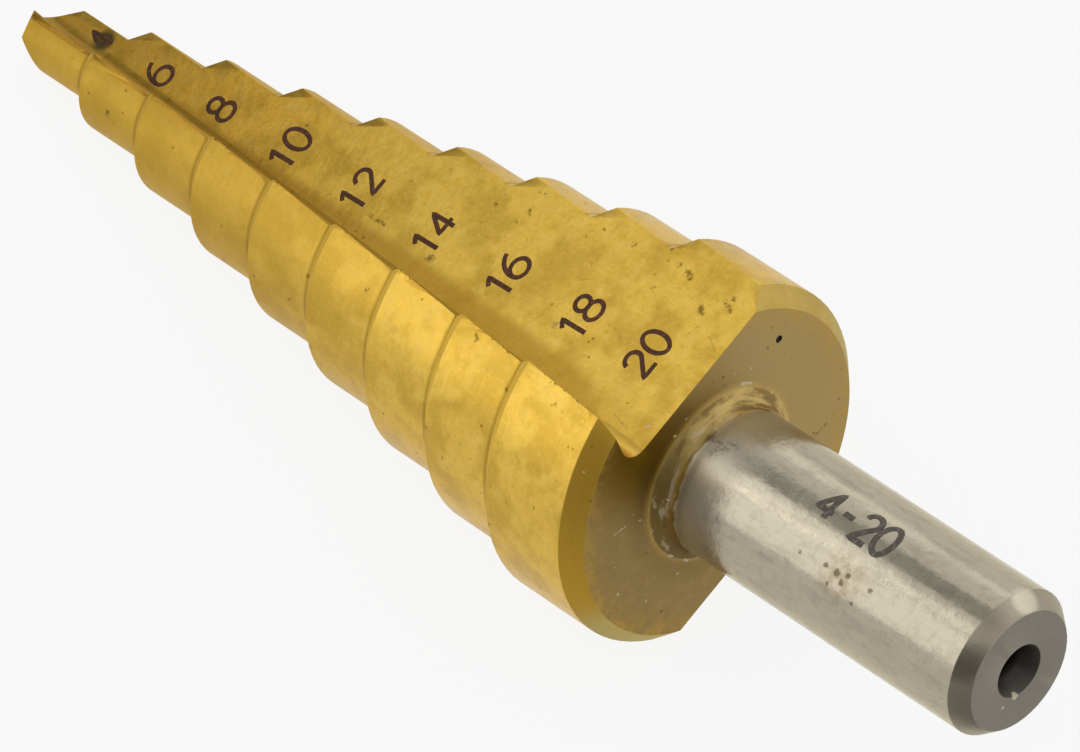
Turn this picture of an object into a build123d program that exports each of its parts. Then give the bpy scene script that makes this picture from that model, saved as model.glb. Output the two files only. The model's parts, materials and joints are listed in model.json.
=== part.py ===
from build123d import *
import os
from itertools import combinations
from math import cos, radians, sin, tan

# A two-flute step drill, made of one piece of high-speed steel.
# It is drawn about its own axis first: Z is the axis, the back face of the stepped body is at Z = 0,
# the steps go down to the point and the shank goes up. At the end it is laid on the floor.
# All lengths are in millimetres and all angles in degrees.

# ---- stepped body
first_diameter = 4.0        # the step at the point
diameter_rise = 2.0         # from one step to the next
step_count = 9
step_pitch = 5.52           # along the axis, from rim to rim
last_step_length = 6.27     # the widest step, from its rim to the back face
first_step_length = 5.74    # the narrowest step, from the outer end of a lip to the next rim
shoulder_angle = 45.0       # of the cone that leads up to each rim, from the axis
back_chamfer_length = 0.95
back_chamfer_depth = 0.87

# ---- relief behind the cutting edges: each land is turned about axes of its own
land_offset = 0.04          # of the axis of a land's cylinders
shoulder_offset = 0.24      # of the axis of a land's cones
offset_lead = 45.0          # how far those axes lie ahead of the cutting edge

# ---- flutes: two flat walls that meet in a round root, which runs from the tip to the back face
root_out = 6.75             # the root's sharp corner at the back face, from the axis
root_side = 2.11            # the same corner, towards the land that cuts
root_radius = 1.0
hook_angle = 18.4           # the rake wall leans back by this much under the cutting edge
floor_angle = 10.4          # the numbered wall leans out by this much from square
land_start = 27.0           # a direction inside the flute, ahead of the cutting edge

# ---- point: two facets on each land, all four through the tip
point_angle = 118.0
lip_turn = -14.0            # direction of the cutting lip about the axis
lip_clearance = 18.0
heel_clearance = 51.0

# ---- shank
shank_diameter = 8.0
shank_length = 20.8
shank_chamfer_length = 0.9
shank_chamfer_depth = 0.7
base_fillet = 1.2           # where the shank leaves the back face
centre_mouth = 2.9          # centre hole in the shank's end
centre_pilot = 1.5
centre_angle = 60.0
centre_depth = 3.2

# ---- worked out from the sizes above
last_diameter = first_diameter + diameter_rise * (step_count - 1)
last_rim = -last_step_length
lip_end = last_rim - step_pitch * (step_count - 2) - first_step_length
tip = lip_end - first_diameter / 2 / tan(radians(point_angle / 2))
spare = last_diameter       # how far a cutting solid reaches past the work
touching = 1e-4             # two things closer than this touch


def step_rim(number):
    """Height of the rim of a step; step 0 is the one at the point and has no shoulder."""
    return last_rim - step_pitch * (step_count - 1 - number)


def off_axis(distance):
    """The place of a land's own axis."""
    return Location((distance * cos(radians(offset_lead)), -distance * sin(radians(offset_lead)), 0))


def land_step(number):
    """One step of a land: a cylinder, led in by a cone."""
    radius = first_diameter / 2 + diameter_rise / 2 * number
    turned = radius - land_offset * cos(radians(offset_lead))
    coned = radius - shoulder_offset * cos(radians(offset_lead))
    growth = tan(radians(shoulder_angle))
    low = tip - spare if number == 0 else step_rim(number) - coned / growth
    at_low = Pos(0, 0, low)
    from_low = (Align.CENTER, Align.CENTER, Align.MIN)
    cylinder = off_axis(land_offset) * at_low * Cylinder(turned, -low, align=from_low)
    if number == 0:
        return cylinder
    cone = off_axis(shoulder_offset) * at_low * Cone(0, -low * growth, -low, align=from_low)
    return cylinder & cone


def turned_land():
    """The stepped shape of one land, relieved behind its cutting edge."""
    blank = land_step(0)
    for number in range(1, step_count):
        blank += land_step(number)
    top = last_diameter / 2 - land_offset * cos(radians(offset_lead)) - back_chamfer_depth
    height = spare - tip
    growth = back_chamfer_depth / back_chamfer_length
    chamfer = off_axis(land_offset) * Cone(
        top + height * growth, top, height, align=(Align.CENTER, Align.CENTER, Align.MAX))
    return blank & chamfer


def body_blank():
    """Two lands back to back, each one kept on its own side of the axis."""
    side = Vector(sin(radians(land_start)), cos(radians(land_start)), 0)
    land = split(turned_land(), bisect_by=Plane(origin=(0, 0, 0), z_dir=side), keep=Keep.TOP)
    return land + Rot(0, 0, 180) * land


def flute():
    """What the grinding wheel takes away between the two lands."""
    corner = Vector(root_out, root_side, 0)
    rake_end = corner + Vector(cos(radians(hook_angle)), -sin(radians(hook_angle)), 0) * 2 * spare
    floor_end = corner - Vector(sin(radians(floor_angle)), cos(radians(floor_angle)), 0) * 2 * spare
    wedge = make_face(Polyline(corner, rake_end, floor_end, close=True))
    wedge = fillet(wedge.vertices().sort_by_distance(corner)[0], root_radius)
    root_line = Vector(0, 0, tip) - corner
    return extrude(wedge, amount=2 * root_line.length, dir=root_line.normalized())


def facet(slope_out, slope_back, turn):
    """A plane through the tip that rises by these slopes along a lip and behind it."""
    along = Vector(1, 0, slope_out)
    behind = Vector(0, 1, slope_back)
    return Plane(origin=(0, 0, tip), z_dir=along.cross(behind).rotate(Axis.Z, turn))


def ground_point(work):
    """Grinds the four facets of the point."""
    lip_rise = 1 / tan(radians(point_angle / 2))
    for half_turn in (0, 180):
        lip = facet(lip_rise, tan(radians(lip_clearance)), half_turn + lip_turn)
        heel = facet(0, tan(radians(heel_clearance)), half_turn)
        work = split(work, bisect_by=lip, keep=Keep.TOP)
        work = split(work, bisect_by=heel, keep=Keep.TOP)
    return work


def shank():
    """The plain round shank with its end chamfer."""
    radius = shank_diameter / 2
    inner = radius - shank_chamfer_depth
    shoulder = shank_length - shank_chamfer_length
    outline = Polyline((0, 0, 0), (radius, 0, 0), (radius, 0, shoulder), (inner, 0, shank_length),
                       (0, 0, shank_length), close=True)
    return revolve(make_face(outline), Axis.Z)


def centre_hole():
    """The centre hole in the shank's end: a cone, then a pilot with a drilled bottom."""
    mouth = centre_mouth / 2
    pilot = centre_pilot / 2
    cone_end = shank_length - (mouth - pilot) / tan(radians(centre_angle / 2))
    pilot_end = shank_length - centre_depth
    bottom = pilot_end - pilot / tan(radians(point_angle / 2))
    outline = Polyline((0, 0, shank_length), (mouth, 0, shank_length), (pilot, 0, cone_end),
                       (pilot, 0, pilot_end), (0, 0, bottom), close=True)
    return revolve(make_face(outline), Axis.Z)


def upright_drill():
    """The whole drill about its own axis."""
    work = body_blank()
    work -= flute()
    work -= Rot(0, 0, 180) * flute()
    work = ground_point(work)
    work += shank()
    base = [edge for edge in work.edges().filter_by(GeomType.CIRCLE)
            if abs(edge.radius - shank_diameter / 2) < touching and abs(edge.center().Z) < touching]
    work = fillet(base, base_fillet)
    return work - centre_hole()


def flute_corners(drill):
    """The corners of the body on both banks of the flute that the drill will lie on."""
    into_flute = Vector(-cos(radians(land_start)), sin(radians(land_start)), 0)
    corners = [Vector(*vertex) for vertex in drill.vertices()]
    return [corner for corner in corners if corner.Z < 0 and corner.dot(into_flute) > 0]


def carries(feet, centre, down):
    """Whether a weight at the centre falls inside the triangle of three feet."""
    first, second, third = feet
    sides = ((first, second), (second, third), (third, first))
    turns = [(end - start).cross(centre - start).dot(down) for start, end in sides]
    return min(turns) > 0 or max(turns) < 0


def resting_direction(drill):
    """Which way is down once the drill lies still on three corners of its body."""
    corners = flute_corners(drill)
    centre = drill.center(CenterOf.MASS)
    best = None
    for feet in combinations(corners, 3):
        across = (feet[1] - feet[0]).cross(feet[2] - feet[0])
        if across.length < touching:
            continue
        down = across.normalized()
        if down.dot(feet[0] - centre) < 0:
            down = -down
        height = down.dot(feet[0] - centre)
        lowest = max(down.dot(corner - feet[0]) for corner in corners)
        if lowest < touching and carries(feet, centre, down) and (best is None or height < best[0]):
            best = (height, down)
    return best[1]


def laid_down(drill):
    """Lays the drill on the floor at Z = 0, with its axis over X and its shank towards +X."""
    up = -resting_direction(drill)
    axis = Vector(0, 0, 1)
    along = axis - up * axis.dot(up)
    lying = Plane(origin=(0, 0, 0), x_dir=along, z_dir=up).location.inverse() * drill
    box = lying.bounding_box()
    return Pos(-box.center().X, -box.center().Y, -box.min.Z) * lying


if __name__ == "__main__":
    os.makedirs("parts", exist_ok=True)
    step_drill = laid_down(upright_drill())
    export_step(step_drill, "parts/step_drill.step")
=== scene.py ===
# %% [markdown]
# # A used step drill, lying on a white table
# A step drill is one piece of high-speed steel. Its cone of nine steps opens a hole from 4 to 20 mm,
# one step at a time. The steel is ground all over, the stepped body is then coated with gold-coloured
# titanium nitride, and the shank is left bare for the chuck.
# The solid comes finished from the frame: this file gives it its honed edges, its wear, its finish,
# its burnt-in numbers, and a plain studio to stand in.

# %% Load the frame
import json
import math
import random

import bmesh
import bpy
from mathutils import Matrix, Vector


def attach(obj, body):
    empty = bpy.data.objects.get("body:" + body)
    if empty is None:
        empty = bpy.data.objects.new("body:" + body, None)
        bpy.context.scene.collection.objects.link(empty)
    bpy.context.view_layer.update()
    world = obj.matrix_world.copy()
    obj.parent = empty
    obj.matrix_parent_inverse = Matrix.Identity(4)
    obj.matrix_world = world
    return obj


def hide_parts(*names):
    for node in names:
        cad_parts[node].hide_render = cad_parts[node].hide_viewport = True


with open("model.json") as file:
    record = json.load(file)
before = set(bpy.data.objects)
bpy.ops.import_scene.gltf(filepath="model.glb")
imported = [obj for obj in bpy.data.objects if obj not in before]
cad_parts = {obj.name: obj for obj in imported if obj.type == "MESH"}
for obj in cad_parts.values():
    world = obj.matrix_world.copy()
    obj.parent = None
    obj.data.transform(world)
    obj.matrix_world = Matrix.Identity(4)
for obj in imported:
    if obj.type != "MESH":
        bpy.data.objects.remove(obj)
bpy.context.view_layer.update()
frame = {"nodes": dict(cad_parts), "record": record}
bpy.context.scene.view_settings.view_transform = "Standard"
solid = frame["nodes"]["step_drill"]
mm = 0.001
print("the solid has", len(solid.data.polygons), "faces")

# %% [markdown]
# ## Where the drill's own axis runs
# The drill lies aslant on its rims, so nothing on it is square to the floor. Rings, streaks and
# numbers are much easier to place along and around the drill's own axis. The record of the part
# names the shank as a round pin and the back of the body as a flat face: the pin gives the axis and
# the face gives the zero along it. The last direction comes from the widest flat wall that faces up,
# which is the wall of the flute that carries the numbers.

# %% Axis and numbered wall
mounts = {mount["name"]: mount for mount in frame["record"]["mounts"]}
along = Vector(mounts["shank"]["axis"]).normalized()
on_axis = Vector(mounts["shank"]["pos_m"])
back_centre = on_axis + along * (Vector(mounts["body_back"]["pos_m"]) - on_axis).dot(along)
shank_radius = mounts["shank"]["dims"]["r_mm"] * mm


def widest_wall(faces):
    """The flat wall with the largest area among the faces that look up beside the axis."""
    areas = {}
    for face in faces:
        if face.normal.z > 0.5 and abs(face.normal.dot(along)) < 0.5:
            key = tuple(round(part, 3) for part in face.normal)
            area, first = areas.get(key, (0, face))
            areas[key] = (area + face.area, first)
    return max(areas.values(), key=lambda found: found[0])[1]


numbered = widest_wall(solid.data.polygons)
wall_normal = numbered.normal.copy()
outward = (wall_normal - along * wall_normal.dot(along)).normalized()
sideways = along.cross(outward)
drill_axes = Matrix((outward, sideways, along)).transposed()
print("axis", along, "rises", round(math.degrees(math.asin(along.z)), 2), "degrees")


# %% Places and objects
def at(out, side, up_axis):
    """A point given in millimetres from the middle of the body's back face, along the drill's axes."""
    return back_centre + drill_axes @ Vector((out, side, up_axis)) * mm


def around(radius, turn, up_axis):
    """A point given by its distance from the axis, its angle in degrees and its height in mm."""
    return at(radius * math.cos(math.radians(turn)), radius * math.sin(math.radians(turn)), up_axis)


def placed(name, data):
    """A new object in the scene."""
    made = bpy.data.objects.new(name, data)
    bpy.context.scene.collection.objects.link(made)
    return made


print("middle of the back face at", at(0, 0, 0) / mm, "mm")

# %% [markdown]
# ## Camera
# Small shiny tools are shot with a long lens from some way off, so that both ends keep their size.
# A camera could be aimed by a constraint, but a plain position and two angles say more: this one
# stands to the right of the point, looks down at half a right angle, and leans a little.

# %% Camera
looks_at = Vector((4.49, -1.95, 8.96)) * mm
camera_distance = 451.8 * mm
camera_azimuth = math.radians(47.34)
camera_elevation = math.radians(49.98)
camera_lean = math.radians(-1.484)
camera_data = bpy.data.cameras.new("camera")
camera_data.sensor_width = 36.0
camera_data.lens = 302.7
camera = placed("camera", camera_data)
bpy.context.scene.camera = camera


def direction(azimuth, elevation):
    """The direction towards an azimuth, counted from -Y towards +X, and an elevation, in radians."""
    level = math.cos(elevation)
    return Vector((math.sin(azimuth) * level, -math.cos(azimuth) * level, math.sin(elevation)))


back_ward = direction(camera_azimuth, camera_elevation)
level_right = Vector((math.cos(camera_azimuth), math.sin(camera_azimuth), 0))
level_up = back_ward.cross(level_right)
right = level_right * math.cos(camera_lean) + level_up * math.sin(camera_lean)
turned = Matrix((right, back_ward.cross(right), back_ward)).transposed()
camera.matrix_world = Matrix.Translation(looks_at + back_ward * camera_distance) @ turned.to_4x4()
print("camera at", camera.matrix_world.translation / mm, "mm")

# %% [markdown]
# ## Helpers for shader nodes
# A material is a small network. Written out node by node it takes pages, so a few helpers add a
# node, set its options and feed its inputs in one line. An input gets a number, a colour or
# another node's output.


# %% Node helpers
def node(tree, kind, inputs=(), **options):
    """Adds a shader node, sets its options and feeds its inputs."""
    made = tree.nodes.new("ShaderNode" + kind)
    for name, value in options.items():
        setattr(made, name, value)
    for name, value in dict(inputs).items():
        if isinstance(value, bpy.types.NodeSocket):
            tree.links.new(value, made.inputs[name])
        else:
            made.inputs[name].default_value = value
    return made


def maths(tree, operation, first, second=0.0):
    """One sum of two values."""
    return node(tree, "Math", {0: first, 1: second}, operation=operation).outputs[0]


def vectors(tree, operation, first, second=(0, 0, 0)):
    """One sum of two places; a length or an angle comes out as a plain value."""
    made = node(tree, "VectorMath", {0: first, 1: second}, operation=operation)
    return made.outputs["Value" if operation in ("DISTANCE", "DOT_PRODUCT", "LENGTH") else 0]


def ramp(tree, value, start, end, low=0.0, high=1.0):
    """A smooth step from low to high while the value goes from start to end."""
    inputs = {"Value": value, "From Min": start, "From Max": end, "To Min": low, "To Max": high}
    return node(tree, "MapRange", inputs, interpolation_type="SMOOTHSTEP").outputs[0]


def blend(tree, share, first, second, way="MIX"):
    """A mix of two colours."""
    mixed = node(tree, "Mix", {0: share, 6: first, 7: second}, data_type="RGBA", blend_type=way)
    return mixed.outputs[2]


def layered(tree, colour, *layers):
    """A colour under layers of paint, each of them a mask and a colour."""
    for share, paint in layers:
        colour = blend(tree, share, colour, paint)
    return colour


def new_material(name):
    """An empty material with its output node."""
    made = bpy.data.materials.new(name)
    made.use_nodes = True
    made.node_tree.nodes.clear()
    return made, made.node_tree, made.node_tree.nodes.new("ShaderNodeOutputMaterial")


print("helpers ready")

# %% [markdown]
# ## Table and sky
# The table is white and has no edge in sight. A white that comes from stronger lamps would wash the
# gold out, so most of the table's white is given only to rays that come from the camera or from a
# mirror-like bounce, and an eighth of it stays an ordinary painted surface that takes the soft shadow.
# The sky works the same way: white to look at and in reflections, plainer as a source of light.


# %% Table and sky
def seen_directly(tree):
    """1 for rays from the camera, from a reflection or through glass, and 0 for other rays."""
    path = node(tree, "LightPath")
    mirrored = maths(tree, "MAXIMUM", path.outputs["Is Glossy Ray"], path.outputs["Is Transmission Ray"])
    return maths(tree, "MAXIMUM", path.outputs["Is Camera Ray"], mirrored)


def flat_sheet(name, width, height, material):
    """A flat rectangle about the origin."""
    corners = [(x * width / 2, y * height / 2, 0) for x, y in ((-1, -1), (1, -1), (1, 1), (-1, 1))]
    mesh = bpy.data.meshes.new(name)
    mesh.from_pydata(corners, [], [(0, 1, 2, 3)])
    mesh.materials.append(material)
    return placed(name, mesh)


table_size = 8.0
table_white = 0.82
shadow_share = 0.12
sky_light = 0.62

material, tree, output = new_material("table_white")
painted = node(tree, "BsdfDiffuse", {"Color": (table_white, table_white, table_white, 1)})
glow = node(tree, "Emission", {"Color": (1, 1, 1, 1), "Strength": 1.0})
share = maths(tree, "MULTIPLY", seen_directly(tree), 1 - shadow_share)
mixed = node(tree, "MixShader", {0: share, 1: painted.outputs[0], 2: glow.outputs[0]})
tree.links.new(mixed.outputs[0], output.inputs[0])

table = flat_sheet("table", table_size, table_size, material)

world = bpy.data.worlds.new("sky")
bpy.context.scene.world = world
world.use_nodes = True
world.node_tree.nodes.clear()
strength = maths(world.node_tree, "MAXIMUM", seen_directly(world.node_tree), sky_light)
sky = node(world.node_tree, "Background", {"Color": (1, 1, 1, 1), "Strength": strength})
sky_output = world.node_tree.nodes.new("ShaderNodeOutputWorld")
world.node_tree.links.new(sky.outputs[0], sky_output.inputs[0])
print("table is", table_size, "m wide")

# %% [markdown]
# ## Soft boxes and dark cards
# Polished metal shows its surroundings, so it is lit by shaping what it sees. Two soft boxes on the
# left draw the bright bands along the lands and the shank, and two weaker ones behind and on the
# right keep the far sides from going dull. Dark cards do the opposite: each takes light away from
# one side, which is what gives the chamfers, the shank's top and the point their deep tones. The
# cards are seen only in reflections, so they cast no shadow and hide nothing.


# %% Soft boxes and cards
def facing(place, target):
    """A placement at a point, with its Z axis pointing away from the target."""
    return Matrix.Translation(place) @ (place - target).to_track_quat("Z", "Y").to_matrix().to_4x4()


def seen_from_drill(azimuth, elevation, distance):
    """The point that lies in a direction from the drill, at a distance in mm."""
    return looks_at + direction(math.radians(azimuth), math.radians(elevation)) * distance * mm


def soft_box(name, place, width, height, radiance):
    """A rectangular lamp that faces the drill; its radiance is how white it looks in a mirror."""
    lamp = bpy.data.lights.new(name, "AREA")
    lamp.shape = "RECTANGLE"
    lamp.size = width * mm
    lamp.size_y = height * mm
    lamp.energy = radiance * math.pi * lamp.size * lamp.size_y
    placed(name, lamp).matrix_world = facing(place, looks_at)


def dark_card(name, placement, width, height, shade):
    """A sheet of an even dark shade that only reflections see."""
    made, tree, output = new_material(name)
    even_shade = node(tree, "Emission", {"Color": (shade, shade, shade, 1), "Strength": 1.0})
    tree.links.new(even_shade.outputs[0], output.inputs[0])
    card = flat_sheet(name, width * mm, height * mm, made)
    card.matrix_world = placement
    card.visible_camera = False
    card.visible_diffuse = False
    card.visible_transmission = False
    card.visible_shadow = False


soft_box("soft_box_left", seen_from_drill(-39, 24, 160), 90, 120, 0.62)
soft_box("soft_box_upper_left", seen_from_drill(-62, 44, 175), 60, 60, 0.75)
soft_box("soft_box_behind", seen_from_drill(-137, 27, 200), 70, 60, 0.40)
soft_box("soft_box_right", seen_from_drill(147, 35, 200), 110, 110, 0.35)
dark_card("card_near_camera", facing(seen_from_drill(43, 18, 170), looks_at), 190, 140, 0.12)
dark_card("card_past_the_point", facing(seen_from_drill(-88, 14, 125), looks_at), 130, 55, 0.28)
dark_card("card_overhead", Matrix.Translation(Vector((22, 17, 150)) * mm), 275, 70, 0.50)
dark_card("card_beside_the_shank_end", Matrix.Translation(Vector((67, -33, 0.3)) * mm), 60, 62, 0.35)
print("lamps", len(bpy.data.lights))

# %% [markdown]
# ## Finish: coating and ground steel
# One network holds both finishes, because they are one surface: it is gold up to a ragged line at
# the root of the shank and bare steel beyond. Everything in it is worked out from where a point
# lies on the drill and which way the surface faces there, in the drill's own millimetres. That is
# how a land, a chamfer, the back face and the flute can each have their own tone and gloss without
# a seam.

# %% Colours of the drill
steel = (0.41, 0.372, 0.28, 1)
steel_dull = (0.31, 0.275, 0.21, 1)
end_grey = (0.19, 0.175, 0.148, 1)
# painted shade deep in the centre hole and in the pit
painted_hole_shade = (0.035, 0.032, 0.028, 1)
# painted shade on the cone of the centre hole
cone_grey = (0.085, 0.078, 0.068, 1)
steel_bright = (0.54, 0.49, 0.375, 1)
gold = (0.665, 0.428, 0.066, 1)
wall_gold = (0.69, 0.445, 0.067, 1)
warm_gold = (0.82, 0.46, 0.055, 1)
gold_pale = (0.74, 0.505, 0.115, 1)
gold_deep = (0.47, 0.285, 0.035, 1)
# painted shade and painted highlight for the sides of the back chamfer
chamfer_shade_gold = (0.47, 0.29, 0.035, 1)
chamfer_highlight_pale = (0.50, 0.39, 0.13, 1)
# lighter gold of the shoulders: partly a rougher finish, partly painted light
shoulder_lit_gold = (0.86, 0.55, 0.060, 1)
back_light = (0.375, 0.265, 0.105, 1)
# painted shade on the back face, towards the flute's side
back_shade_brown = (0.265, 0.18, 0.066, 1)
# painted shade: the brown of the corners that get less light
painted_shade_brown = (0.22, 0.125, 0.008, 1)
# painted shade in the flute roots, and the colour of the hairlines
shade_and_hairline_brown = (0.40, 0.215, 0.026, 1)
fillet_gold = (0.56, 0.405, 0.15, 1)
# painted shade on and beside the fillet
fillet_shade_brown = (0.165, 0.105, 0.032, 1)
fleck_dark = (0.10, 0.055, 0.012, 1)
rust_brown = (0.085, 0.045, 0.018, 1)
rust_stain = (0.27, 0.21, 0.13, 1)
smoke_grey = (0.075, 0.065, 0.055, 1)
grease_dark = (0.060, 0.048, 0.030, 1)
# pale of the dust and of the painted glints
dust_and_glint_pale = (0.72, 0.64, 0.46, 1)
rubbed_steel = (0.75, 0.72, 0.64, 1)
rubbed_gold = (0.86, 0.66, 0.28, 1)
warm_sheen = (1.0, 0.95, 0.83, 1)
faint_sheen = 0.15
print("gold", gold[:3], "steel", steel[:3])


# %% Where a point lies on the drill
def drill_space(tree):
    """Place in mm, its parts, distance from the axis, the two slopes, and the numbered wall."""
    turn = drill_axes.to_euler()
    coordinates = node(tree, "TexCoord").outputs["Object"]
    place = node(tree, "Mapping", {"Vector": coordinates, "Location": back_centre, "Rotation": turn,
                                   "Scale": (mm, mm, mm)}, vector_type="TEXTURE").outputs[0]
    normal = node(tree, "NewGeometry").outputs["Normal"]
    slope = node(tree, "Mapping", {"Vector": normal, "Rotation": turn}, vector_type="TEXTURE").outputs[0]
    split = node(tree, "SeparateXYZ", {0: place})
    flat = node(tree, "CombineXYZ", {0: split.outputs[0], 1: split.outputs[1]}).outputs[0]
    radius = vectors(tree, "LENGTH", flat)
    facing_out = vectors(tree, "DOT_PRODUCT", vectors(tree, "NORMALIZE", flat), slope)
    slopes = node(tree, "SeparateXYZ", {0: slope})
    on_wall = ramp(tree, maths(tree, "ABSOLUTE", slopes.outputs[0]), 0.986, 0.991)
    return place, split.outputs, radius, facing_out, slopes.outputs[2], on_wall


# %% Patterns and spots
def noise(tree, place, scale, detail=3.0, roughness=0.5, distortion=0.0):
    """Fractal noise of so many bumps per millimetre."""
    inputs = {"Vector": place, "Scale": scale, "Detail": detail, "Roughness": roughness,
              "Distortion": distortion}
    return node(tree, "TexNoise", inputs).outputs[0]


def stretched(tree, place, across, along_axis):
    """The place, scaled across the axis and along it."""
    return vectors(tree, "MULTIPLY", place, (across, across, along_axis))


def flecks(tree, place, scale, size, share):
    """Small scattered spots: some cells of a random pattern get a dot, of differing size."""
    ragged = node(tree, "TexNoise", {"Vector": place, "Scale": 9.0, "Detail": 2.0})
    shift = node(tree, "VectorMath", {0: ragged.outputs["Color"], "Scale": 0.16}, operation="SCALE")
    moved = vectors(tree, "ADD", place, shift.outputs[0])
    cells = node(tree, "TexVoronoi", {"Vector": moved, "Scale": scale, "Randomness": 1.0})
    chance = node(tree, "SeparateColor", {0: cells.outputs["Color"]})
    picked = ramp(tree, chance.outputs[0], 1 - share, 1.0)
    reach = maths(tree, "MULTIPLY", picked, size * scale)
    inner = maths(tree, "MULTIPLY", reach, 0.45)
    inputs = {"Value": cells.outputs["Distance"], "From Min": reach, "From Max": inner}
    return node(tree, "MapRange", inputs, interpolation_type="SMOOTHSTEP").outputs[0]


def near(tree, place, centre, reach, blur):
    """1 inside a ball about a point of the drill, fading to 0 over the blur."""
    return ramp(tree, vectors(tree, "DISTANCE", place, centre), reach + blur, reach)


def mask(tree, first, *others):
    """Where all the masks overlap; a plain number among them weakens the result."""
    for other in others:
        first = maths(tree, "MULTIPLY", first, other)
    return first


def stroke(tree, place, start, end, reach, blur):
    """1 along a straight line between two points of the drill, fading to 0 over the blur."""
    run = Vector(end) - Vector(start)
    offset = vectors(tree, "SUBTRACT", place, start)
    ahead = vectors(tree, "DOT_PRODUCT", offset, run / run.length_squared)
    share = node(tree, "Clamp", {0: ahead}).outputs[0]
    foot = node(tree, "VectorMath", {0: run, "Scale": share}, operation="SCALE").outputs[0]
    return ramp(tree, vectors(tree, "DISTANCE", offset, foot), reach + blur, reach)


def marked(tree, place, marks):
    """1 at any of the listed marks: a place, or two for a scratch, then the reach and the blur."""
    found = 0.0
    for *points, reach, blur in marks:
        spot = near if len(points) == 1 else stroke
        found = maths(tree, "MAXIMUM", spot(tree, place, *points, reach, blur), found)
    return found


print("spots and strokes ready")

# %% [markdown]
# ## Painted shade in the corners
# The round root of the flutes and the foot of every shoulder are painted darker: a painted shade.
# Ambient occlusion could find such corners, but it is slow and depends on the renderer. The drill
# is regular, so a few of its sizes say exactly where its corners run.

# %% Corners for the painted shade
step_count = 9
first_radius = 2.0
radius_rise = 1.0
step_pitch = 5.52
first_rim = -6.27
shoulder_drop = 1.0
point_height = -51.85
root_middle = (6.256, 3.297)


def foot_of_shoulder(tree, height):
    """1 in a narrow line at the foot of each shoulder."""
    above = maths(tree, "SUBTRACT", height, first_rim - shoulder_drop)
    around_foot = maths(tree, "PINGPONG", above, step_pitch / 2)
    return mask(tree, ramp(tree, around_foot, 0.19, 0.02), ramp(tree, height, -6.0, -6.5))


def inside_of_steps(tree, radius, height):
    """1 where a point lies deeper than any step's own surface at that height."""
    span = {"Value": height, "From Min": first_rim - shoulder_drop - (step_count - 1) * step_pitch,
            "From Max": first_rim - shoulder_drop, "To Min": first_radius - radius_rise,
            "To Max": first_radius + (step_count - 2) * radius_rise}
    smallest = node(tree, "MapRange", span, clamp=False).outputs[0]
    return ramp(tree, maths(tree, "SUBTRACT", radius, smallest), -0.15, -0.45)


def root_of_flute(tree, parts):
    """1 in the root of either flute, fading out up both walls."""
    side = maths(tree, "SIGN", parts[0])
    grown = node(tree, "MapRange", {"Value": parts[2], "From Min": point_height, "From Max": 0.0,
                                    "To Min": 0.0, "To Max": root_middle[1]}).outputs[0]
    mirrored = maths(tree, "MULTIPLY", parts[1], side)
    off_root = maths(tree, "SUBTRACT", grown, mirrored)
    past_band = maths(tree, "SUBTRACT", off_root, ramp(tree, parts[2], -8.0, -50.0, 2.75, 1.25))
    return mask(tree, ramp(tree, past_band, 0.0, -0.8), ramp(tree, parts[2], -2.0, -12.0, 0.35, 1.0))


print("step pitch", step_pitch, "mm")

# %% [markdown]
# ## Single marks
# Noise alone never looks used, because real marks have a reason and a place. So the larger ones are
# listed one by one in the drill's own millimetres: out, sideways and along the axis, once for a spot
# and twice for a scratch, then how far the mark reaches and over how much it fades.

# %% Dark and faint marks
dark_marks = [
    ((-4.67, -5.92, 0.0), (-4.60, -5.16, 0.0), 0.01, 0.10),
    ((-4.60, -5.30, 0.0), (-4.30, -5.10, 0.0), 0.01, 0.09),
    ((3.99, -0.30, -18.97), (3.92, -0.45, -19.1), 0.06, 0.24),
    ((3.92, -0.20, -19.3), (4.02, -0.35, -18.8), 0.02, 0.16),
    ((3.42, 0.60, -23.51), 0.04, 0.12),
    ((3.49, -0.54, -22.96), (3.40, -0.60, -24.2), 0.01, 0.20),
    ((5.65, -6.52, -5.10), (5.70, -6.30, -4.7), 0.04, 0.24),
    ((5.56, -6.61, -5.80), 0.03, 0.20),
    ((5.91, -5.30, -2.94), (5.95, -5.10, -2.7), 0.05, 0.28),
    ((6.06, -6.54, -1.65), 0.04, 0.22),
    ((6.03, -6.20, -1.93), (6.10, -5.9, -1.3), 0.02, 0.20),
    ((5.17, -6.33, -9.04), 0.05, 0.24),
    ((5.43, -7.10, -6.88), 0.04, 0.18),
    ((5.51, -4.92, -6.22), 0.04, 0.18),
    ((4.34, -5.13, -15.94), (4.36, -4.90, -15.7), 0.02, 0.14),
    ((4.10, -4.45, -17.94), 0.04, 0.16),
    ((6.20, 3.23, -19.21), (6.26, 3.12, -19.1), 0.04, 0.08),
    ((8.66, 2.45, -10.5), (8.60, 2.65, -10.2), 0.02, 0.10),
    ((8.60, 2.65, -10.2), (8.55, 2.80, -10.35), 0.01, 0.08),
    ((7.65, 2.31, -15.11), 0.03, 0.09),
    ((8.22, 3.65, -7.45), (8.10, 3.89, -7.25), 0.03, 0.12),
    ((4.47, 3.97, -23.86), 0.04, 0.14),
    ((1.95, 2.25, -42.54), 0.06, 0.26),
]
faint_marks = [
    ((5.47, -2.31, -6.51), (5.57, -1.84, -5.67), 0.01, 0.06),
    ((6.10, -4.29, -1.29), (6.21, -3.77, -0.43), 0.01, 0.06),
    ((5.90, 1.50, -2.95), (6.04, 1.78, -1.77), 0.01, 0.06),
    ((5.09, -0.79, -9.72), 0.10, 0.30),
    ((3.96, -0.62, 1.0), (3.96, -0.45, 2.1), 0.08, 0.40),
    ((3.96, -0.60, 1.1), (3.96, -0.52, 1.6), 0.05, 0.25),
    ((3.9, 0.1, 1.7), (3.95, -0.9, 2.4), 0.02, 0.50),
]
print("dark", len(dark_marks), "faint", len(faint_marks))
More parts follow.
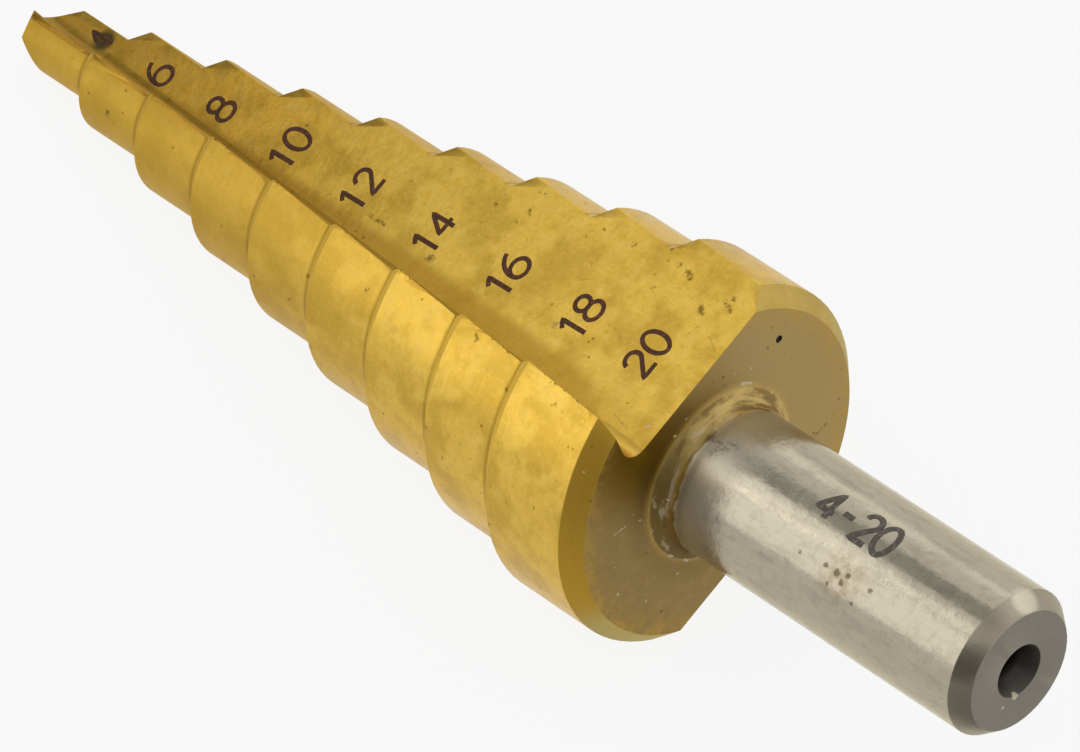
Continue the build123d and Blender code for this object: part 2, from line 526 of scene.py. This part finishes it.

# %% Rust, dust, painted glints and larger places
rust_marks = [
    ((3.68, 1.55, 10.78), 0.10, 0.10),
    ((3.67, 1.58, 11.56), 0.13, 0.12),
    ((3.73, 1.41, 12.20), 0.11, 0.10),
    ((3.54, 1.85, 12.01), 0.09, 0.12),
    ((3.73, 1.43, 13.72), 0.07, 0.14),
    ((3.21, 2.38, 13.01), 0.06, 0.08),
    ((3.34, 2.20, 11.26), 0.05, 0.10),
    ((3.61, 1.71, 9.10), 0.04, 0.12),
]
# pale marks: partly dust, partly painted glints on the fillet, the back face and the lip of the hole
dust_and_glint_marks = [
    ((2.75, -4.15, 0.02), (3.35, -3.75, 0.02), 0.05, 0.05),
    ((3.50, -4.58, 0.0), 0.03, 0.05),
    ((4.36, -3.73, 0.0), 0.03, 0.04),
    ((4.95, 0.57, 0.02), 0.06, 0.04),
    ((5.12, -0.41, 0.0), 0.04, 0.03),
    ((2.82, 3.03, 0.64), 0.05, 0.04),
    ((2.66, 4.60, 0.0), 0.05, 0.04),
    ((3.41, 4.71, 0.0), 0.03, 0.03),
    ((-1.11, 4.62, 0.08), (-1.35, 4.50, 0.08), 0.05, 0.04),
    ((-2.45, 4.10, 0.06), (-2.75, 4.05, 0.06), 0.05, 0.04),
    ((0.07, 7.83, 0.0), 0.05, 0.04),
    ((-2.22, 6.96, 0.0), 0.04, 0.04),
    ((3.27, 5.34, 0.0), (3.58, 6.09, 0.0), 0.015, 0.03),
    ((8.16, 5.12, -0.57), 0.04, 0.03),
    ((6.16, 1.21, -0.81), (6.18, 1.05, -0.65), 0.03, 0.04),
    ((-1.13, 0.92, 20.8), 0.16, 0.08),
    ((-0.96, 1.77, 20.8), 0.07, 0.05),
]
# the mouth of the flute on the back face, where the painted shade there is darkest
flute_mouth = (6.2, 2.6, 0)
rust_middle = (3.55, 1.75, 11.9)
chamfer_glint = (2.75, -2.55, 20.3)
grease_place = (0.60, -1.12, -46.85)
pit_place = (3.26, -6.64)
print("rust", len(rust_marks), "light", len(dust_and_glint_marks))

# %% [markdown]
# ## Masks: where a tone or a gloss belongs
# A part like this could be split into objects with a material each, but every border between two
# tones would then be a hard edge. A mask is softer: a value from 0 to 1 worked out from the place
# and the slope. The masks are made once here, and the colour, the wear and the gloss share them.


# %% Masks
hole_rim = (1.50, 1.44)
hole_floor = (16.0, 16.5)
fillet_rim = (5.3, 5.1)
chamfer_rim = (8.0, 8.5)
shank_start = (1.2, 1.6)
coating_end = (1.46, 1.28)
raggedness = 0.6


class Masks:
    """What the finish asks of a point on the drill."""


def drill_masks(tree):
    """The place of a point, and a value from 0 to 1 for each region."""
    on = Masks()
    on.place, on.parts, on.radius, on.facing_out, facing_back, on.wall = drill_space(tree)
    on.height = on.parts[2]
    on.off_wall = maths(tree, "SUBTRACT", 1.0, on.wall)
    on.body = ramp(tree, on.height, 0.3, -0.05)
    inner = inside_of_steps(tree, on.radius, on.height)
    on.land = mask(tree, ramp(tree, on.facing_out, 0.90, 0.97), on.body, on.off_wall,
                   maths(tree, "SUBTRACT", 1.0, inner))
    concave = maths(tree, "MAXIMUM", ramp(tree, on.facing_out, 0.90, 0.80), inner)
    concave = mask(tree, concave, ramp(tree, facing_back, 0.5, 0.3),
                   ramp(tree, facing_back, -0.55, -0.35))
    on.flute = maths(tree, "MAXIMUM", concave, on.wall)
    on.shoulder = mask(tree, ramp(tree, facing_back, -0.40, -0.55), ramp(tree, on.facing_out, 0.3, 0.5))
    on.end = ramp(tree, facing_back, 0.85, 0.97)
    on.back_face = mask(tree, on.end, on.body)
    on.chamfer = mask(tree, ramp(tree, facing_back, 0.35, 0.55), ramp(tree, facing_back, 0.95, 0.85))
    on.body_chamfer = mask(tree, on.chamfer, ramp(tree, on.radius, *chamfer_rim))
    on.hole = mask(tree, ramp(tree, on.radius, *hole_rim), ramp(tree, on.height, *hole_floor))
    on.fillet = mask(tree, ramp(tree, on.radius, *fillet_rim), ramp(tree, facing_back, 0.97, 0.90),
                     ramp(tree, on.height, -0.05, 0.02))
    on.shank = ramp(tree, on.height, *shank_start)
    on.patch = noise(tree, on.place, 1.3, 4.0, 0.6, 0.5)
    uneven = mask(tree, noise(tree, on.place, 0.9, 4.0, 0.6), raggedness)
    on.coated = ramp(tree, maths(tree, "ADD", on.height, uneven), *coating_end)
    return on


def tool_marks(tree, on):
    """Fine lines: rings where the drill was turned, streaks along it where it was ground."""
    streaks = noise(tree, stretched(tree, on.place, 6.0, 0.4), 1.0, 4.0, 0.6)
    rings = noise(tree, stretched(tree, on.place, 0.3, 9.0), 1.0, 4.0, 0.6)
    lathed = maths(tree, "MAXIMUM", on.land, maths(tree, "MAXIMUM", on.chamfer, on.hole))
    return node(tree, "Mix", {0: lathed, 2: streaks, 3: rings}).outputs[0]


print("the coating ends at", coating_end[0], "mm")

# %% [markdown]
# ## Colour of the coating
# The coating is one gold, yet no two places of a used drill show the same gold: heat, oil and chips
# have mottled it. One noise would look like camouflage, so several are laid over each other, from
# clouds of some millimetres down to a fine speckle, each of them weak.


# %% Mottled gold
def mottled_gold(tree, on):
    """The gold of the lands and the walls, from broad clouds down to a fine speckle."""
    cloud = noise(tree, on.place, 0.33, 3.0, 0.5)
    mottle = noise(tree, on.place, 0.85, 5.0, 0.65, 0.2)
    speckle = noise(tree, on.place, 4.5, 4.0, 0.7)
    deepened = mask(tree, ramp(tree, mottle, 0.54, 0.32, 0.0, 0.50), ramp(tree, on.wall, 0, 1, 1.0, 0.5))
    coating = layered(
        tree, gold, (on.wall, wall_gold),
        (mask(tree, on.wall, ramp(tree, on.height, -24.0, -36.0)), warm_gold),
        (ramp(tree, on.patch, 0.40, 0.75, 0.0, 0.6), gold_pale),
        (ramp(tree, cloud, 0.56, 0.38, 0.0, 0.65), gold_deep),
        (deepened, gold_deep),
        (ramp(tree, speckle, 0.52, 0.72, 0.0, 0.45), gold_pale),
        (ramp(tree, speckle, 0.46, 0.28, 0.0, 0.45), gold_deep),
        (ramp(tree, on.patch, 0.42, 0.30, 0.0, 0.35), gold_deep))
    return coating, mottle


# %% Chamfer, back face and fillet
def turned_faces(tree, on, coating):
    """The back chamfer with painted shade and highlight, the shoulders, and the brown back face with
    painted shade.
    """
    across = on.parts[1]
    # painted shade on the back face beside the fillet
    shade_beside_fillet = mask(tree, ramp(tree, on.radius, 6.6, 5.2), ramp(tree, across, -3.5, 1.0, 0.0, 0.4))
    rim = mask(tree, ramp(tree, on.radius, 7.6, 9.2, 0.0, 0.5), ramp(tree, on.patch, 0.35, 0.6))
    # painted shade: the back face darkens towards the flute's side and about its mouth
    shaded = layered(
        tree, back_light, (ramp(tree, across, -2.0, 3.0), back_shade_brown),
        (ramp(tree, on.patch, 0.45, 0.75, 0.0, 0.35), back_light),
        (near(tree, on.place, flute_mouth, 0.9, 3.6), painted_shade_brown),
        (shade_beside_fillet, fillet_shade_brown), (rim, gold_deep))
    return layered(
        tree, coating,
        # painted shade on one side of the back chamfer, painted highlight on two others
        (mask(tree, on.body_chamfer, ramp(tree, across, -4.0, -1.0)), chamfer_shade_gold),
        (mask(tree, on.body_chamfer, ramp(tree, on.parts[0], 1.5, -1.5)), chamfer_highlight_pale),
        (mask(tree, on.body_chamfer, ramp(tree, across, -4.5, -6.5, 0.0, 0.6)), chamfer_highlight_pale),
        # the shoulders' lighter gold is partly a rougher finish, partly painted light
        (mask(tree, on.shoulder, 0.85), shoulder_lit_gold), (on.back_face, shaded))


def stained_fillet(tree, on, coating):
    """The fillet at the foot of the shank, with painted shade on one side and darker and paler streaks
    round the axis that are painted reflections.
    """
    arcs = noise(tree, stretched(tree, on.place, 0.6, 2.6), 1.0, 3.0, 0.6)
    return layered(
        # painted shade on one side of the fillet; the darker and paler streaks are painted reflections
        tree, coating, (on.fillet, fillet_gold),
        (mask(tree, on.fillet, ramp(tree, on.parts[1], -2.8, 4.0)), fillet_shade_brown),
        (mask(tree, on.fillet, ramp(tree, arcs, 0.46, 0.64, 0.0, 0.75)), fillet_shade_brown),
        (mask(tree, on.fillet, ramp(tree, arcs, 0.44, 0.34, 0.0, 0.30)), dust_and_glint_pale))


# %% Use and grime
def used_coating(tree, on, coating, mottle):
    """Painted shade towards the point, in the flute roots and at the foot of each shoulder; hairlines and
    small dark spots.
    """
    # painted shade: the lands darken towards the point
    darker_to_point = mask(tree, ramp(tree, on.height, -7.0, -38.0, 0.0, 0.6), on.off_wall)
    # painted shade: the round root of the flutes and the foot of each shoulder are painted darker
    corner = mask(tree, root_of_flute(tree, on.parts), on.flute,
                  ramp(tree, on.height, -20.0, -38.0, 0.75, 0.95))
    round_root = mask(tree, corner, on.off_wall, ramp(tree, on.facing_out, 0.75, 0.88), 0.6)
    foot = mask(tree, foot_of_shoulder(tree, on.height), ramp(tree, on.facing_out, 0.6, 0.7),
                on.off_wall, 0.5)
    wavy = noise(tree, on.place, 0.40, 3.0, 0.45, 0.8)
    wavy = maths(tree, "ABSOLUTE", maths(tree, "SUBTRACT", wavy, 0.5))
    hairline = mask(tree, ramp(tree, wavy, 0.010, 0.002), ramp(tree, mottle, 0.50, 0.58), on.wall, 0.40)
    crowded = ramp(tree, noise(tree, on.place, 0.28, 2.0), 0.48, 0.60)
    dark_spots = maths(tree, "MAXIMUM", flecks(tree, on.place, 0.8, 0.16, 0.35),
                       mask(tree, flecks(tree, on.place, 2.0, 0.13, 0.45), crowded))
    return layered(
        tree, coating, (darker_to_point, gold_deep), (corner, shade_and_hairline_brown), (round_root, painted_shade_brown),
        (foot, painted_shade_brown), (hairline, shade_and_hairline_brown), (mask(tree, dark_spots, 0.6), fleck_dark))


def coating_colour(tree, on):
    """The whole gold coating."""
    coating, mottle = mottled_gold(tree, on)
    coating = turned_faces(tree, on, coating)
    coating = stained_fillet(tree, on, coating)
    return used_coating(tree, on, coating, mottle)


print("grime is thickest at", flute_mouth)

# %% [markdown]
# ## Colour of the bare shank
# Ground steel is grey with a warm cast. Fingers and the chuck leave smears that run along it, and
# sweat starts a few spots of rust with a stained halo. The end face is darker, its chamfer has a
# painted shade and a painted glint, and the centre hole is painted dark as the shade inside it.


# %% Ground steel
def steel_colour(tree, on):
    """The ground shank with smears and a rust stain, painted shade and a painted glint on its chamfer,
    and painted shade in its centre hole.
    """
    smear = noise(tree, stretched(tree, on.place, 1.1, 0.35), 1.0, 4.0, 0.6, 0.4)
    handled = noise(tree, on.place, 2.0, 5.0, 0.7)
    stained = mask(tree, near(tree, on.place, rust_middle, 0.6, 1.3),
                   ramp(tree, handled, 0.35, 0.6), 0.6)
    return layered(
        tree, steel, (ramp(tree, smear, 0.48, 0.70, 0.0, 0.6), steel_dull),
        (ramp(tree, handled, 0.48, 0.70, 0.0, 0.6), steel_dull),
        (stained, rust_stain),
        (ramp(tree, on.height, 3.6, 1.4), steel_bright),
        # painted shade on the end chamfer, then a painted glint on it
        (mask(tree, on.chamfer, 0.8), steel_dull),
        (near(tree, on.place, chamfer_glint, 0.5, 0.5), steel_bright),
        # painted shade in the centre hole, darkest deep inside
        (on.end, end_grey), (on.hole, cone_grey),
        (mask(tree, on.hole, ramp(tree, on.radius, 0.95, 0.80)), painted_hole_shade))


print("rust around", rust_middle)

# %% [markdown]
# ## Wear, marks, dust and painted glints
# The listed marks are laid over both metals; the pale ones are partly dust and partly painted glints.
# A plain disc or line would look printed, so the place is shaken by a fine noise before the distance
# is measured, which frays the outline, and crumbs of another noise break the inside up.


# %% Frayed marks
shake = 0.22


def frayed_place(tree, place):
    """The place, shaken by a fine noise."""
    crumbling = node(tree, "TexNoise", {"Vector": place, "Scale": 7.0, "Detail": 2.0})
    shift = vectors(tree, "SUBTRACT", crumbling.outputs["Color"], (0.5, 0.5, 0.5))
    shift = node(tree, "VectorMath", {0: shift, "Scale": shake}, operation="SCALE").outputs[0]
    return vectors(tree, "ADD", place, shift)


def marked_colour(tree, on, colour):
    """The colour with its single marks, and where the dust and the painted glints lie."""
    frayed = frayed_place(tree, on.place)
    crumbs = ramp(tree, noise(tree, on.place, 5.0, 3.0, 0.6), 0.40, 0.56)
    grains = mask(tree, flecks(tree, on.place, 1.1, 0.10, 0.22), on.back_face)
    dust_and_glints = mask(tree, maths(tree, "MAXIMUM", marked(tree, frayed, dust_and_glint_marks), grains), 0.75)
    colour = layered(
        tree, colour, (mask(tree, marked(tree, frayed, dark_marks), crumbs, 0.75), fleck_dark),
        # the pit is painted dark as the shade inside it
        (near(tree, on.place, (*pit_place, -0.05), 0.19, 0.06), painted_hole_shade),
        (mask(tree, marked(tree, frayed, faint_marks), crumbs, 0.45), smoke_grey),
        (mask(tree, near(tree, frayed, grease_place, 0.40, 0.45), 0.85), grease_dark),
        (mask(tree, marked(tree, frayed, rust_marks), 0.75), rust_brown),
        (dust_and_glints, dust_and_glint_pale))
    return colour, dust_and_glints


print("pit at", pit_place)

# %% [markdown]
# ## Gloss and relief
# How sharp a reflection is tells ground steel from a worn coating more than colour does. The shank
# is almost a mirror, the numbered wall is satin, and the lands near the point are scoured matt. The
# shoulders, the dust and the painted glints are barely metallic at all. Two weak bumps add the lumps
# of a hand-held grind and the tool marks.


# %% Gloss and relief
lump_height = 0.03 * mm
tool_mark_depth = 0.003 * mm


def drill_gloss(tree, on):
    """How rough each region is."""
    def region(rough, share, other):
        return node(tree, "Mix", {0: share, 2: rough, 3: other}).outputs[0]

    rough = ramp(tree, on.patch, 0.3, 0.7, 0.26, 0.38)
    rough = region(rough, mask(tree, ramp(tree, on.height, -10.0, -36.0), on.land), 0.50)
    rough = region(rough, on.wall, 0.28)
    fine = ramp(tree, on.patch, 0.3, 0.7, 0.14, 0.20)
    smooth = region(fine, ramp(tree, on.height, 5.0, 1.5), 0.42)
    smooth = region(smooth, on.chamfer, 0.36)
    rough = region(rough, maths(tree, "MAXIMUM", on.shank, on.fillet), smooth)
    dull = maths(tree, "MAXIMUM", mask(tree, on.fillet, on.coated), on.hole)
    rough = region(rough, dull, 0.55)
    rough = region(rough, on.back_face, 0.5)
    return region(rough, maths(tree, "MAXIMUM", on.shoulder, on.body_chamfer), 0.6)


def drill_relief(tree, on, grain):
    """Lumps on the shank and the wall, then the tool marks on top of them."""
    lumps = noise(tree, on.place, 1.6, 3.0, 0.6)
    lumps = mask(tree, lumps, maths(tree, "MAXIMUM", on.shank, on.wall))
    relief = node(tree, "Bump", {"Strength": 0.5, "Distance": lump_height, "Height": lumps}).outputs[0]
    return node(tree, "Bump", {"Strength": 0.5, "Distance": tool_mark_depth, "Height": grain,
                               "Normal": relief}).outputs[0]


print("tool marks are", tool_mark_depth / mm, "mm deep")

# %% [markdown]
# ## The whole finish
# Edges and chips are the same steel, so they get the same network. Only one number differs: how far
# the metal is rubbed, from nothing on the faces to most of the way in a fresh chip.


# %% Drill finish
def drill_finish(name, edge_wear):
    """The coated and ground surface; edge_wear is how much lighter the metal is rubbed."""
    made, tree, output = new_material(name)
    on = drill_masks(tree)
    colour = blend(tree, on.coated, steel_colour(tree, on), coating_colour(tree, on))
    rubbed = blend(tree, on.coated, rubbed_steel, rubbed_gold)
    worn = ramp(tree, noise(tree, on.place, 2.2, 3.0, 0.7), 0.42, 0.62)
    colour = blend(tree, mask(tree, worn, edge_wear), colour, rubbed)
    grain = tool_marks(tree, on)
    tone = node(tree, "MapRange", {"Value": grain, "From Min": 0.25, "From Max": 0.75,
                                   "To Min": 0.95, "To Max": 1.04}).outputs[0]
    grey = node(tree, "CombineColor", {0: tone, 1: tone, 2: tone}).outputs[0]
    colour = blend(tree, 1.0, colour, grey, "MULTIPLY")
    colour, dust_and_glints = marked_colour(tree, on, colour)
    plain = maths(tree, "MAXIMUM", dust_and_glints, mask(tree, on.shoulder, 0.8))
    shader = node(tree, "BsdfPrincipled", {
        "Base Color": colour, "Metallic": maths(tree, "SUBTRACT", 1.0, plain),
        "Roughness": drill_gloss(tree, on), "Normal": drill_relief(tree, on, grain),
        "Specular IOR Level": faint_sheen, "Specular Tint": warm_sheen})
    tree.links.new(shader.outputs[0], output.inputs[0])
    return made


drill_material = drill_finish("ground_and_coated", 0.0)
edge_material = drill_finish("honed_edge", 0.15)
chip_material = drill_finish("fresh_chip", 0.6)
print("finishes", drill_material.name, edge_material.name, chip_material.name)

# %% [markdown]
# ## Honed edges
# No ground edge is perfectly sharp: a wheel and a coating leave a band a few hundredths of a
# millimetre wide, and that band is what glints. A shader can fake it, but real faces also hold up
# in a close view. The solid's mesh is copied and welded, the flat pieces are joined, and every edge
# that turns sharply is bevelled by the same small width.

# %% Honed copy of the solid
weld_distance = 0.0002 * mm
flat_angle = math.radians(0.1)
sharp_angle = math.radians(28)
hone_width = 0.035 * mm
edge_slot, chip_slot = 1, 2


def honed_copy(source, name):
    """A copy of the solid's mesh with its sharp edges bevelled; the bevels take the edge's finish."""
    work = bmesh.new()
    work.from_mesh(source.data)
    bmesh.ops.remove_doubles(work, verts=work.verts, dist=weld_distance)
    bmesh.ops.dissolve_limit(work, angle_limit=flat_angle, verts=work.verts, edges=work.edges)
    sharp = [line for line in work.edges if line.calc_face_angle(0) > sharp_angle]
    bmesh.ops.bevel(work, geom=sharp, offset=hone_width, offset_type="OFFSET", segments=2,
                    profile=0.5, affect="EDGES", clamp_overlap=True, loop_slide=False, material=edge_slot)
    for face in work.faces:
        face.smooth = True
    mesh = bpy.data.meshes.new(name)
    work.to_mesh(mesh)
    work.free()
    return mesh


honed_mesh = honed_copy(solid, "honed_drill")
print("honed mesh has", len(honed_mesh.polygons), "faces")

# %% [markdown]
# ## Chips
# A used step drill loses crumbs of steel where the work is hardest: along the cutting edges, mostly
# at the corner of each step. A dark texture could suggest them, but a chip changes the outline and
# glints, so each one is really cut out. A small rough stone stands half in the edge, and what it
# covers is taken away. The stones come from a seeded random, so they are the same in every run.


# %% Places on a cutting edge
rake_run = (0.9903, -0.1387)


def on_cutting_edge(radius, height):
    """The point of a cutting edge at a distance from the axis, found by walking out from the root."""
    grown = 1 - height / point_height
    root = Vector(root_middle) * grown
    run = Vector(rake_run)
    ahead = root.dot(run)
    reach = -ahead + math.sqrt(ahead ** 2 - root.length_squared + radius ** 2)
    found = root + run * reach
    return found.x, found.y, height


print("edge of the widest step at", [round(part, 2) for part in on_cutting_edge(10, -4.9)])

# %% Stones that cut the chips
chance = random.Random(20)
chips_per_step = 4
chip_run = (0.1, 5.2)
chip_size = 0.11
size_spread = (0.5, 1.1)
last_chip = -1.2
stands_out = 0.45
pit_size = 0.21
stone_rough = (0.75, 1.2)
stone_stretch = 1.4
larger_chips = [(6.0, -28.75, 0.20), (6.0, -28.3, 0.13), (7.0, -23.2, 0.15), (10.0, -4.1, 0.13),
                (10.0, -4.9, 0.11), (9.0, -8.2, 0.14), (9.0, -10.9, 0.12), (5.0, -33.6, 0.13),
                (4.0, -39.2, 0.12), (8.0, -17.1, 0.12)]


def add_stone(work, centre, size):
    """A rough little stone, given in the drill's own millimetres."""
    made = bmesh.ops.create_icosphere(work, subdivisions=2, radius=size)
    for vertex in made["verts"]:
        rough = vertex.co * chance.uniform(*stone_rough)
        vertex.co = at(*(Vector(centre) + Vector((rough.x, rough.y, rough.z * stone_stretch))))


def chip_stones():
    """All the stones as one mesh: some along each step of both cutting edges, and one round pit."""
    work = bmesh.new()
    places = list(larger_chips)
    for step in range(step_count):
        radius = first_radius + radius_rise * step
        rim = first_rim - step_pitch * (step_count - 1 - step)
        for _ in range(chips_per_step):
            height = rim + chance.uniform(*chip_run)
            places.append((radius, height, chip_size * chance.uniform(*size_spread)))
    for side in (1, -1):
        for radius, height, size in places:
            if height <= last_chip:
                x, y, z = on_cutting_edge(radius, height)
                outside = 1 + stands_out * size / radius
                add_stone(work, (side * x * outside, side * y * outside, z), size)
    add_stone(work, (*pit_place, 0.05), pit_size)
    mesh = bpy.data.meshes.new("stones")
    for face in work.faces:
        face.material_index = chip_slot
        face.smooth = True
    work.to_mesh(mesh)
    work.free()
    return mesh


stone_mesh = chip_stones()
print("stones have", len(stone_mesh.polygons), "faces")

# %% [markdown]
# ## Cutting the chips out
# A boolean takes the stones away. The drill is a closed skin, which suits the manifold solver: it is
# quick and exact, as long as it works on triangles of a handy size, hence the step to millimetres.
# It can leave needles and crumbs behind, so what comes out is cleaned down to one closed skin.

# %% One closed skin
needle_width = 0.0004


def edit(mesh, change):
    """Opens a mesh, lets a function change it, and writes it back."""
    work = bmesh.new()
    work.from_mesh(mesh)
    change(work)
    work.to_mesh(mesh)
    work.free()


def in_triangles(work):
    """Splits every face into triangles."""
    bmesh.ops.triangulate(work, faces=work.faces)


def whole_body(work):
    """Welds needle-thin faces away and drops the loose crumbs, so that one closed skin is left."""
    in_triangles(work)
    bmesh.ops.remove_doubles(work, verts=work.verts, dist=needle_width)
    bmesh.ops.dissolve_degenerate(work, edges=work.edges, dist=needle_width)
    in_triangles(work)
    unseen = set(work.faces)
    half_of_all = len(work.faces) / 2
    while unseen:
        crumb = [unseen.pop()]
        for face in crumb:
            beside = {other for line in face.edges if len(line.link_faces) == 2
                      for other in line.link_faces}
            crumb.extend(beside & unseen)
            unseen -= beside
        if len(crumb) < half_of_all:
            bmesh.ops.delete(work, geom=crumb, context="FACES")


print("needles under", needle_width, "mm are welded")


# %% Cut the chips
def cut_out(body_mesh, stone_mesh, name):
    """The body less the stones, worked out on triangles in millimetres, as a mesh of its own."""
    for mesh in (body_mesh, stone_mesh):
        edit(mesh, in_triangles)
        mesh.transform(Matrix.Scale(1 / mm, 4))
    body = placed("uncut", body_mesh)
    stones = placed("stones", stone_mesh)
    cut = body.modifiers.new("chips", "BOOLEAN")
    cut.operation = "DIFFERENCE"
    cut.solver = "MANIFOLD"
    cut.object = stones
    ready = body.evaluated_get(bpy.context.evaluated_depsgraph_get())
    mesh = bpy.data.meshes.new_from_object(ready)
    edit(mesh, whole_body)
    mesh.transform(Matrix.Scale(mm, 4))
    mesh.name = name
    for item in (body, stones):
        bpy.data.objects.remove(item)
    return mesh


for mesh in (honed_mesh, stone_mesh):
    mesh.materials.clear()
    for material in (drill_material, edge_material, chip_material):
        mesh.materials.append(material)
drill_mesh = cut_out(honed_mesh, stone_mesh, "ground_drill")
print("drill mesh has", len(drill_mesh.polygons), "faces")

# %% The ground drill
crease_angle = math.radians(40)


def crease(work):
    """Keeps the rims of the chips and all steep edges crisp in the shading."""
    for line in work.edges:
        chip_faces = sum(face.material_index == chip_slot for face in line.link_faces)
        line.smooth = chip_faces != 1 and line.calc_face_angle(0) < crease_angle


edit(drill_mesh, crease)
drill = placed("ground_drill", drill_mesh)
even = drill.modifiers.new("even_normals", "WEIGHTED_NORMAL")
even.weight = 50
even.keep_sharp = True
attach(drill, "root")
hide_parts("step_drill")
print("piece", drill.name)

# %% [markdown]
# ## Burnt-in numbers
# The diameters are written into the coating with a laser that draws each figure as a thin line. A
# font would give outlines with its own weight, so the figures are drawn here as the laser does:
# a few arcs and lines that a round pen follows, pressed almost flat, and laid on the wall.

# %% Figures as pen strokes
wall_pen = 0.27
shank_pen = 0.33
mark_height = 0.012


def arc(x, y, half_width, half_height, start, end, count=20):
    """Points along an ellipse between two angles in degrees."""
    turns = [math.radians(start + (end - start) * step / count) for step in range(count + 1)]
    return [(x + half_width * math.cos(turn), y + half_height * math.sin(turn)) for turn in turns]


def finely(points, longest=0.15):
    """The same line with extra points, so that it can follow a curved surface."""
    fine = [points[0]]
    for (x0, y0), (x1, y1) in zip(points, points[1:]):
        parts = max(1, math.ceil(math.hypot(x1 - x0, y1 - y0) / longest))
        fine += [(x0 + (x1 - x0) * part / parts, y0 + (y1 - y0) * part / parts)
                 for part in range(1, parts + 1)]
    return fine


def loop(x, y, half_width, half_height):
    """A closed ellipse."""
    return arc(x, y, half_width, half_height, 0, 342, 19), True


figures = {
    "0": [loop(0, 0, 0.53, 0.92)],
    "1": [([(-0.25, 0.50), (0.15, 0.86), (0.15, -0.88)], False)],
    "2": [(arc(0, 0.42, 0.46, 0.47, 172, -38) + [(-0.50, -0.87), (0.48, -0.87)], False)],
    "4": [([(0.52, -0.36), (-0.52, -0.36), (0.22, 0.86), (0.22, -0.80)], False)],
    "6": [loop(0.02, -0.35, 0.57, 0.54), (arc(0.42, -0.25, 0.98, 1.18, 184, 97), False)],
    "8": [loop(0, 0.46, 0.44, 0.44), loop(0, -0.42, 0.57, 0.49)],
    "-": [([(-0.32, 0), (0.32, 0)], False)],
}


def pen_mesh(name, text, pitch, pen_width):
    """The strokes of a text as one flat mesh in millimetres, with its middle at the origin."""
    curve = bpy.data.curves.new(name, "CURVE")
    curve.dimensions = "3D"
    curve.bevel_depth = pen_width / 2
    curve.bevel_resolution = 3
    curve.use_fill_caps = True
    for place, figure in enumerate(text):
        shift = (place - (len(text) - 1) / 2) * pitch
        for corners, closed in figures[figure]:
            points = finely(corners)
            spline = curve.splines.new("POLY")
            spline.points.add(len(points) - 1)
            for point, (x, y) in zip(spline.points, points):
                point.co = (x + shift, y, 0, 1)
            spline.use_cyclic_u = closed
    holder = bpy.data.objects.new(name, curve)
    mesh = bpy.data.meshes.new_from_object(holder)
    bpy.data.objects.remove(holder)
    bpy.data.curves.remove(curve)
    for vertex in mesh.vertices:
        vertex.co.z *= 2 * mark_height / pen_width
    return mesh


print("figures drawn:", " ".join(figures))


# %% Mark material
mottled_to = 2.2


def mark_finish(name, colour):
    """Burnt metal: dark, dull and a little uneven."""
    made, tree, output = new_material(name)
    place = drill_space(tree)[0]
    mottle = noise(tree, place, 5.0, 3.0, 0.6)
    pale = tuple(part * mottled_to for part in colour) + (1,)
    tone = blend(tree, ramp(tree, mottle, 0.45, 0.75), colour + (1,), pale)
    shader = node(tree, "BsdfPrincipled", {"Base Color": tone, "Roughness": 0.55, "Metallic": 0.6})
    tree.links.new(shader.outputs[0], output.inputs[0])
    return made


burnt_brown = mark_finish("burnt_brown", (0.075, 0.028, 0.012))
etched_grey = mark_finish("etched_grey", (0.095, 0.085, 0.068))
print("marks", burnt_brown.name, etched_grey.name)

# %% Numbers on the wall
number_places = {4: (47.1, 1.02), 6: (42.2, 1.14), 8: (37.1, 1.27), 10: (31.5, 1.31), 12: (25.8, 1.40),
                 14: (20.0, 1.47), 16: (14.3, 1.59), 18: (8.7, 1.73), 20: (3.8, 1.98)}
figure_pitch = 1.36
to_tip = -(along - wall_normal * along.dot(wall_normal)).normalized()
reading = to_tip.cross(wall_normal)
wall_point = solid.data.vertices[numbered.vertices[0]].co
for number, (back_distance, off_axis) in number_places.items():
    spot = at(0, -off_axis, -back_distance)
    spot += outward * (wall_point - spot).dot(wall_normal) / outward.dot(wall_normal)
    mesh = pen_mesh("number_%d" % number, str(number), figure_pitch, wall_pen)
    for vertex in mesh.vertices:
        x, y, lift = vertex.co
        vertex.co = spot + (reading * x + to_tip * y + wall_normal * lift) * mm
    mesh.materials.append(burnt_brown)
    mark = placed("number_%d" % number, mesh)
    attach(mark, "root")
print("numbers", list(number_places))

# %% Range on the shank
range_middle = 10.8
range_turn = -15.1
range_pitch = 1.27
mesh = pen_mesh("shank_range", "4-20", range_pitch, shank_pen)
for vertex in mesh.vertices:
    x, y, lift = vertex.co
    turn = math.degrees(-y * mm / shank_radius) + range_turn
    vertex.co = around(shank_radius / mm + lift, turn, range_middle + x)
mesh.materials.append(etched_grey)
mark = placed("shank_range", mesh)
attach(mark, "root")
print("shank marked")
